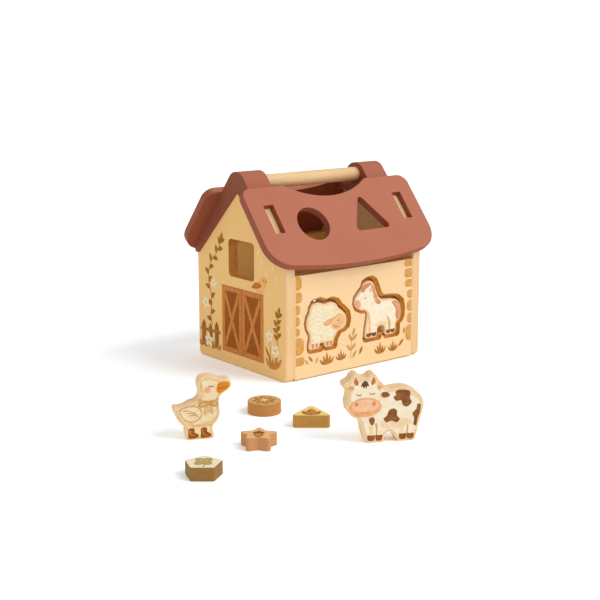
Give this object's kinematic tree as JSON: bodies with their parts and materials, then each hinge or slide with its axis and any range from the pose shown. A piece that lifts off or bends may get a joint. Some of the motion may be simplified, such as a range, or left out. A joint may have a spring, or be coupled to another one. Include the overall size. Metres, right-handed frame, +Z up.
{
  "type": "wooden barn puzzle",
  "caption": "Small carry-along wooden barn with sorting holes in its roof, push-through animal puzzle openings in its side panels, a hinged front panel and loose play pieces.",
  "frame": {"origin": "centre of the house's underside, on the floor it stands on", "axes": "+X along the ridge, +Z up; the hinged panel with the sheep and the horse faces -Y and the gable with the barn doors faces -X"},
  "size_m": [0.4441, 0.3879, 0.213],
  "materials": {
    "cream_printed_wood": "satin printed",
    "terracotta_paint": "matte painted",
    "natural_wood": "satin",
    "steel": "plain",
    "cream_animal_wood": "satin printed",
    "tan_wood": "satin",
    "peach_wood": "satin",
    "yellow_wood": "satin",
    "pale_wood": "satin"
  },
  "bodies": {
    "house": {"left_gable_wall": "cream_printed_wood", "right_gable_wall": "cream_printed_wood", "left_gable_trim": "terracotta_paint", "right_gable_trim": "terracotta_paint", "left_ridge_block": "terracotta_paint", "right_ridge_block": "terracotta_paint", "handle_dowel": "natural_wood", "front_roof_plate": "terracotta_paint", "rear_roof_plate": "terracotta_paint", "floor_board": "cream_printed_wood", "rear_panel": "cream_printed_wood", "flap_hinge_pins": "steel", "wall_dowels": "natural_wood", "ridge_screws": "steel"},
    "flap": {"front_flap": "cream_printed_wood"},
    "sheep_piece": {"sheep": "cream_animal_wood"},
    "horse_piece": {"horse": "cream_animal_wood"},
    "cow_piece": {"cow": "cream_animal_wood"},
    "duck_piece": {"duck": "cream_animal_wood"},
    "circle_piece": {"circle_block": "tan_wood"},
    "star_piece": {"star_block": "peach_wood"},
    "triangle_piece": {"triangle_block": "yellow_wood"},
    "pentagon_piece": {"pentagon_block": "pale_wood"}
  },
  "joints": [
    {"name": "flap_hinge", "type": "hinge", "parent": "house", "child": "flap", "pos_m": [0, -0.074, 0.106], "axis": [-1, 0, 0], "range_deg": [0, 75]},
    {"name": "sheep_push", "type": "slide", "parent": "flap", "child": "sheep_piece", "axis": [0, 1, 0], "range_m": [-0.006, 0.026]},
    {"name": "horse_push", "type": "slide", "parent": "flap", "child": "horse_piece", "axis": [0, 1, 0], "range_m": [-0.006, 0.026]},
    {"name": "cow_lift", "type": "slide", "parent": "house", "child": "cow_piece", "axis": [0, 0, 1], "range_m": [0, 0.06]},
    {"name": "duck_lift", "type": "slide", "parent": "house", "child": "duck_piece", "axis": [0, 0, 1], "range_m": [0, 0.06]},
    {"name": "circle_lift", "type": "slide", "parent": "house", "child": "circle_piece", "axis": [0, 0, 1], "range_m": [0, 0.06]},
    {"name": "star_lift", "type": "slide", "parent": "house", "child": "star_piece", "axis": [0, 0, 1], "range_m": [0, 0.06]},
    {"name": "triangle_lift", "type": "slide", "parent": "house", "child": "triangle_piece", "axis": [0, 0, 1], "range_m": [0, 0.06]},
    {"name": "pentagon_lift", "type": "slide", "parent": "house", "child": "pentagon_piece", "axis": [0, 0, 1], "range_m": [0, 0.06]}
  ]
}
